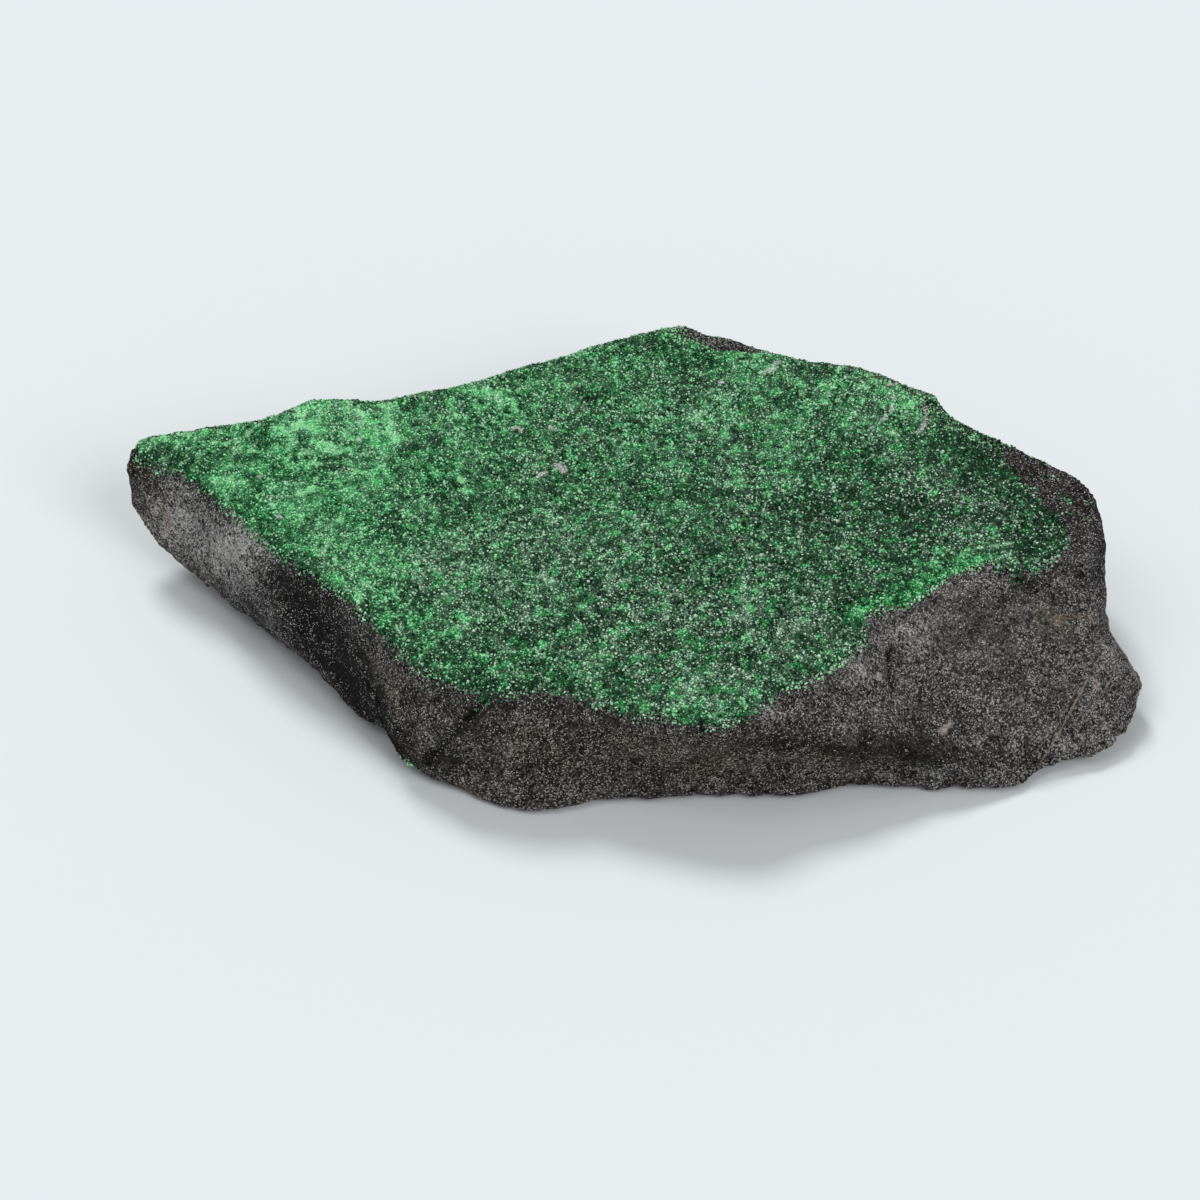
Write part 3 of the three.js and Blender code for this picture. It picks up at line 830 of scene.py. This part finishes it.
class CrystalFace:
    """The top of the crust as a fine grid of heights, with the way to its edge."""

    def __init__(self):
        tree = tree_of(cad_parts["uvarovite_crust"])
        low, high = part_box("uvarovite_crust")
        self.low = np.array(low[:2]) / MM
        self.high = np.array(high[:2]) / MM
        across, along = ((self.high - self.low) / CRUST_STEP).astype(int) + 2
        x = self.low[0] + CRUST_STEP * np.arange(across)
        y = self.low[1] + CRUST_STEP * np.arange(along)
        self.x, self.y = np.meshgrid(x, y, indexing="ij")
        self.height = np.full(self.x.shape, np.nan)
        down = Vector((0, 0, -1))
        for cell in np.ndindex(self.x.shape):
            hit = tree.ray_cast(Vector((self.x[cell] * MM, self.y[cell] * MM, ABOVE_ALL)), down)[0]
            if hit is not None:
                self.height[cell] = hit.z / MM
        self.inside = ~np.isnan(self.height)
        inner = self.inside.copy()
        inner[1:-1, 1:-1] &= self.inside[:-2, 1:-1] & self.inside[2:, 1:-1]
        inner[1:-1, 1:-1] &= self.inside[1:-1, :-2] & self.inside[1:-1, 2:]
        rim = np.argwhere(self.inside & ~inner)
        self.rim = kdtree.KDTree(len(rim))
        for index, (i, j) in enumerate(rim):
            self.rim.insert((self.x[i, j], self.y[i, j], 0), index)
        self.rim.balance()

    def way_in(self, places):
        """How far inside the crust's edge each place is, negative outside."""
        cells = ((places - self.low) / CRUST_STEP).round().astype(int)
        held = cells.clip(0, np.array(self.x.shape) - 1)
        inside = self.inside[held[:, 0], held[:, 1]] & (cells == held).all(1)
        away = np.array([self.rim.find((x, y, 0))[2] for x, y in places.tolist()])
        return np.where(inside, away, -away) - strokes(places, RETREATS)


def make_crust(face, material):
    """The crust: a closed sheet whose upper side is finely uneven and tapers into the rock at its edge."""
    number = np.full(face.x.shape, -1)
    number[face.inside] = np.arange(face.inside.sum())
    points = np.stack([face.x[face.inside], face.y[face.inside], face.height[face.inside]], 1)
    way_in = face.way_in(points[:, :2]) + CRUST_WANDERS * noise_at(points, size=1.6, octaves=3, shift=5)
    sink = CRUST_SINK * (1 - smooth_step(way_in, 0, CRUST_TAPER))
    rough = 0.18 * noise_at(points, size=1.5, octaves=3, shift=2)
    rough += 0.06 * noise_at(points, size=0.6, octaves=1, shift=3)
    points = pushed(points)
    points[:, 2] += rough - sink - CRUST_BELOW

    square = face.inside[:-1, :-1] & face.inside[1:, :-1] & face.inside[1:, 1:] & face.inside[:-1, 1:]
    i, j = np.nonzero(square)
    corners = np.stack([number[i, j], number[i + 1, j], number[i + 1, j + 1], number[i, j + 1]], 1)
    skin = bmesh.new()
    added = [skin.verts.new(point) for point in (points * MM).tolist()]
    for four in corners.tolist():
        skin.faces.new([added[k] for k in four])
    loose = [vert for vert in skin.verts if not vert.link_faces]
    bmesh.ops.delete(skin, geom=loose, context="VERTS")
    border = [edge for edge in skin.edges if edge.is_boundary]
    walls = bmesh.ops.extrude_edge_only(skin, edges=border)["geom"]
    lowered = [item for item in walls if isinstance(item, bmesh.types.BMVert)]
    bmesh.ops.translate(skin, verts=lowered, vec=(0, 0, -CRUST_DEPTH * MM))
    bottom = [item for item in walls if isinstance(item, bmesh.types.BMEdge) and item.is_boundary]
    bmesh.ops.triangle_fill(skin, edges=bottom, use_beauty=False, use_dissolve=False)
    bmesh.ops.recalc_face_normals(skin, faces=skin.faces)
    mesh = bpy.data.meshes.new("uvarovite_druse")
    skin.to_mesh(mesh)
    skin.free()
    mesh.materials.append(material)
    map_from_above(mesh)
    placed = points_of(mesh) / MM
    # The crust shows only in the gaps between crystals, and is darkened there as painted shade.
    tones = CRUST_CONTRAST * tone_at(placed) - CRUST_GAP_SHADE
    keep_face_values(mesh, placed, tones, grey_at(placed), marked=0.5)
    crust = bpy.data.objects.new("uvarovite_druse", mesh)
    bpy.context.collection.objects.link(crust)
    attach(crust, "root")
    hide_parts("uvarovite_crust")
    return crust


# The six ways along the axes, and how an eight-sided form joins them.
AXES = np.array(((1, 0, 0), (-1, 0, 0), (0, 1, 0), (0, -1, 0), (0, 0, 1), (0, 0, -1)))
EIGHT_SIDES = np.array((
    (0, 2, 4), (2, 1, 4), (1, 3, 4), (3, 0, 4),
    (2, 0, 5), (1, 2, 5), (3, 1, 5), (0, 3, 5),
))


def garnet():
    """The twelve-sided form that garnet grows in, 1 across: its points and its rhombic faces."""
    tips = [2 * tip for tip in AXES]
    cubes = [np.array((x, y, z)) for x in (1, -1) for y in (1, -1) for z in (1, -1)]
    points = tips + cubes
    faces = []
    for a in range(len(tips)):
        for b in range(a + 1, len(tips)):
            if tips[a] @ tips[b] == 0:
                near = [k for k, cube in enumerate(cubes) if cube @ tips[a] > 0 and cube @ tips[b] > 0]
                face = [a, len(tips) + near[0], b, len(tips) + near[1]]
                outward = np.cross(points[face[1]] - points[a], points[face[3]] - points[a])
                faces.append(face if outward @ (tips[a] + tips[b]) > 0 else face[::-1])
    return np.array(points) / 4, np.array(faces)


def random_turns(draw, count):
    """Random rotation matrices."""
    q = draw.normal(size=(count, 4))
    q /= np.linalg.norm(q, axis=1, keepdims=True)
    w, x, y, z = q.T
    return np.stack([
        np.stack([1 - 2 * (y * y + z * z), 2 * (x * y - z * w), 2 * (x * z + y * w)], 1),
        np.stack([2 * (x * y + z * w), 1 - 2 * (x * x + z * z), 2 * (y * z - x * w)], 1),
        np.stack([2 * (x * z - y * w), 2 * (y * z + x * w), 1 - 2 * (x * x + y * y)], 1),
    ], 1)


def rest_on(places, trees):
    """The heights of the uppermost surface under places, or not a number off the specimen."""
    found = np.full(len(places), np.nan)
    down = Vector((0, 0, -1))
    for index, (x, y) in enumerate(places.tolist()):
        for tree in trees:
            hit, normal, _, _ = tree.ray_cast(Vector((x * MM, y * MM, ABOVE_ALL)), down)
            if hit is not None and normal.z > LEAST_UP:
                found[index] = np.nanmax([found[index], hit.z / MM])
    return found


def places_on_top(face, draw):
    """Jittered places over the crust, full to its broken edge, and on the rim where it carries crystals."""
    low = face.low - FIELD_MARGIN
    high = face.high + FIELD_MARGIN
    x = np.arange(low[0], high[0], CRYSTAL_SPACING)
    y = np.arange(low[1], high[1], CRYSTAL_SPACING)
    grid = np.stack(np.meshgrid(x, y, indexing="ij"), -1).reshape(-1, 2)
    grid += draw.uniform(-0.5, 0.5, grid.shape) * CRYSTAL_SPACING
    flat = np.column_stack([grid, np.zeros(len(grid))])
    way_in = face.way_in(grid) + CRYSTALS_WANDER * noise_at(flat, size=1.6, octaves=3, shift=5)
    dots = DOTTED_SHARE * smooth_step(noise_at(flat, size=1.6, octaves=2, shift=60), low=0.1, high=0.5)
    across, along = grid.T
    covered = (across < RIM_SPLIT) & (along > COVERED_BEHIND)
    overgrown = (across > OVERGROWN_FROM) & (across < OVERGROWN_TO) & (along > OVERGROWN_BEHIND)
    dotted = (across > RIM_SPLIT) & (along > 0)
    share = smooth_step(way_in, low=-0.4, high=0)
    share = np.where(covered, 1, share)
    share = np.where(overgrown, smooth_step(way_in, low=-2.2, high=-1.6), share)
    share = np.where(dotted, np.maximum(share, dots), share)
    return grid[draw.uniform(size=len(grid)) < share]


def low_patch(rock_tree, draw):
    """Places on the rock for the small low patch."""
    start, end = np.array(LOW_PATCH)
    spots = start + draw.uniform(size=(LOW_CRYSTALS, 1)) * (end - start)
    spots += LOW_SPREAD * draw.normal(size=spots.shape)
    found = [rock_tree.find_nearest(Vector(spot) * MM)[0] / MM for spot in spots.tolist()]
    return np.array(found)


def add_forms(chosen, middles, sizes, turns, form, form_faces, first):
    """The corners and faces of one form at the chosen places, numbered from the first corner."""
    corners = np.einsum("nij,kj->nki", turns[chosen], form) * sizes[chosen][:, None, None]
    corners += middles[chosen][:, None, :]
    faces = form_faces[None] + first + len(form) * np.arange(len(chosen))[:, None, None]
    return corners.reshape(-1, 3), faces.reshape(-1, form_faces.shape[1]).tolist()


def make_crystals(face, crust, rock, material):
    """The crystals, in strips from the front edge to the far one."""
    draw = np.random.default_rng(CRYSTAL_SEED)
    places = places_on_top(face, draw)
    rock_tree = tree_of(rock)
    heights = rest_on(places, (tree_of(crust), rock_tree))
    on = ~np.isnan(heights) & (heights > LEAST_HEIGHT)
    middles = np.concatenate([np.column_stack([places[on], heights[on]]), low_patch(rock_tree, draw)])
    count = len(middles)
    sizes = CRYSTAL_SIZE * np.exp(SIZE_SPREAD * draw.normal(size=count))
    sizes = sizes * (1 + 0.25 * noise_at(middles, size=3, octaves=2, shift=40))
    sizes = np.clip(sizes, SMALLEST, LARGEST)
    middles[:, 2] += sizes * draw.uniform(DEEPEST, HIGHEST, count)

    tones = tone_at(middles) + TONE_SPREAD * draw.normal(size=count)
    greys = grey_at(middles)
    # Painted glints: a few crystals are made nearly white, smaller and grey.
    painted_glint = draw.uniform(size=count) < GLINT_SHARE + GLINT_WITH_GREY * greys
    tones = np.where(painted_glint, GLINT_TONE, tones - GREEN_DARKER)
    greys = (greys + GREY_SPREAD * draw.normal(size=count)) * smooth_step(tones, low=0.05, high=0.5)
    greys = np.where(painted_glint, GLINT_GREY, greys.clip(0, 1))
    sizes = np.where(painted_glint, GLINT_SIZE * sizes, sizes)
    turns = random_turns(draw, count)

    full, full_faces = garnet()
    simple = AXES / 2
    order = np.argsort(middles[:, 1])
    for number, chosen in enumerate(np.array_split(order, STRIPS)):
        large = chosen[sizes[chosen] >= SIMPLE_BELOW]
        small = chosen[sizes[chosen] < SIMPLE_BELOW]
        large_points, large_faces = add_forms(large, middles, sizes, turns, full, full_faces, 0)
        small_points, small_faces = add_forms(
            small, middles, SIMPLE_SWELL * sizes, turns, simple, EIGHT_SIDES, len(large_points)
        )
        corners = np.concatenate([large_points, small_points]) * MM
        faces = large_faces + small_faces
        strip = new_piece(f"crystals_{number + 1}", corners.tolist(), faces, material)
        owners = np.concatenate([np.repeat(large, len(full)), np.repeat(small, len(simple))])
        keep_face_values(strip.data, middles[owners], tones[owners], greys[owners])


make_camera()
make_floor()
make_light()
rock = make_rock(rock_finish())
crystal_face = CrystalFace()
crust = make_crust(crystal_face, green_finish("uvarovite_crust", grains=1.0, roughness=0.5))
make_crystals(crystal_face, crust, rock, green_finish("uvarovite_crystals", grains=0.8, roughness=0.2))
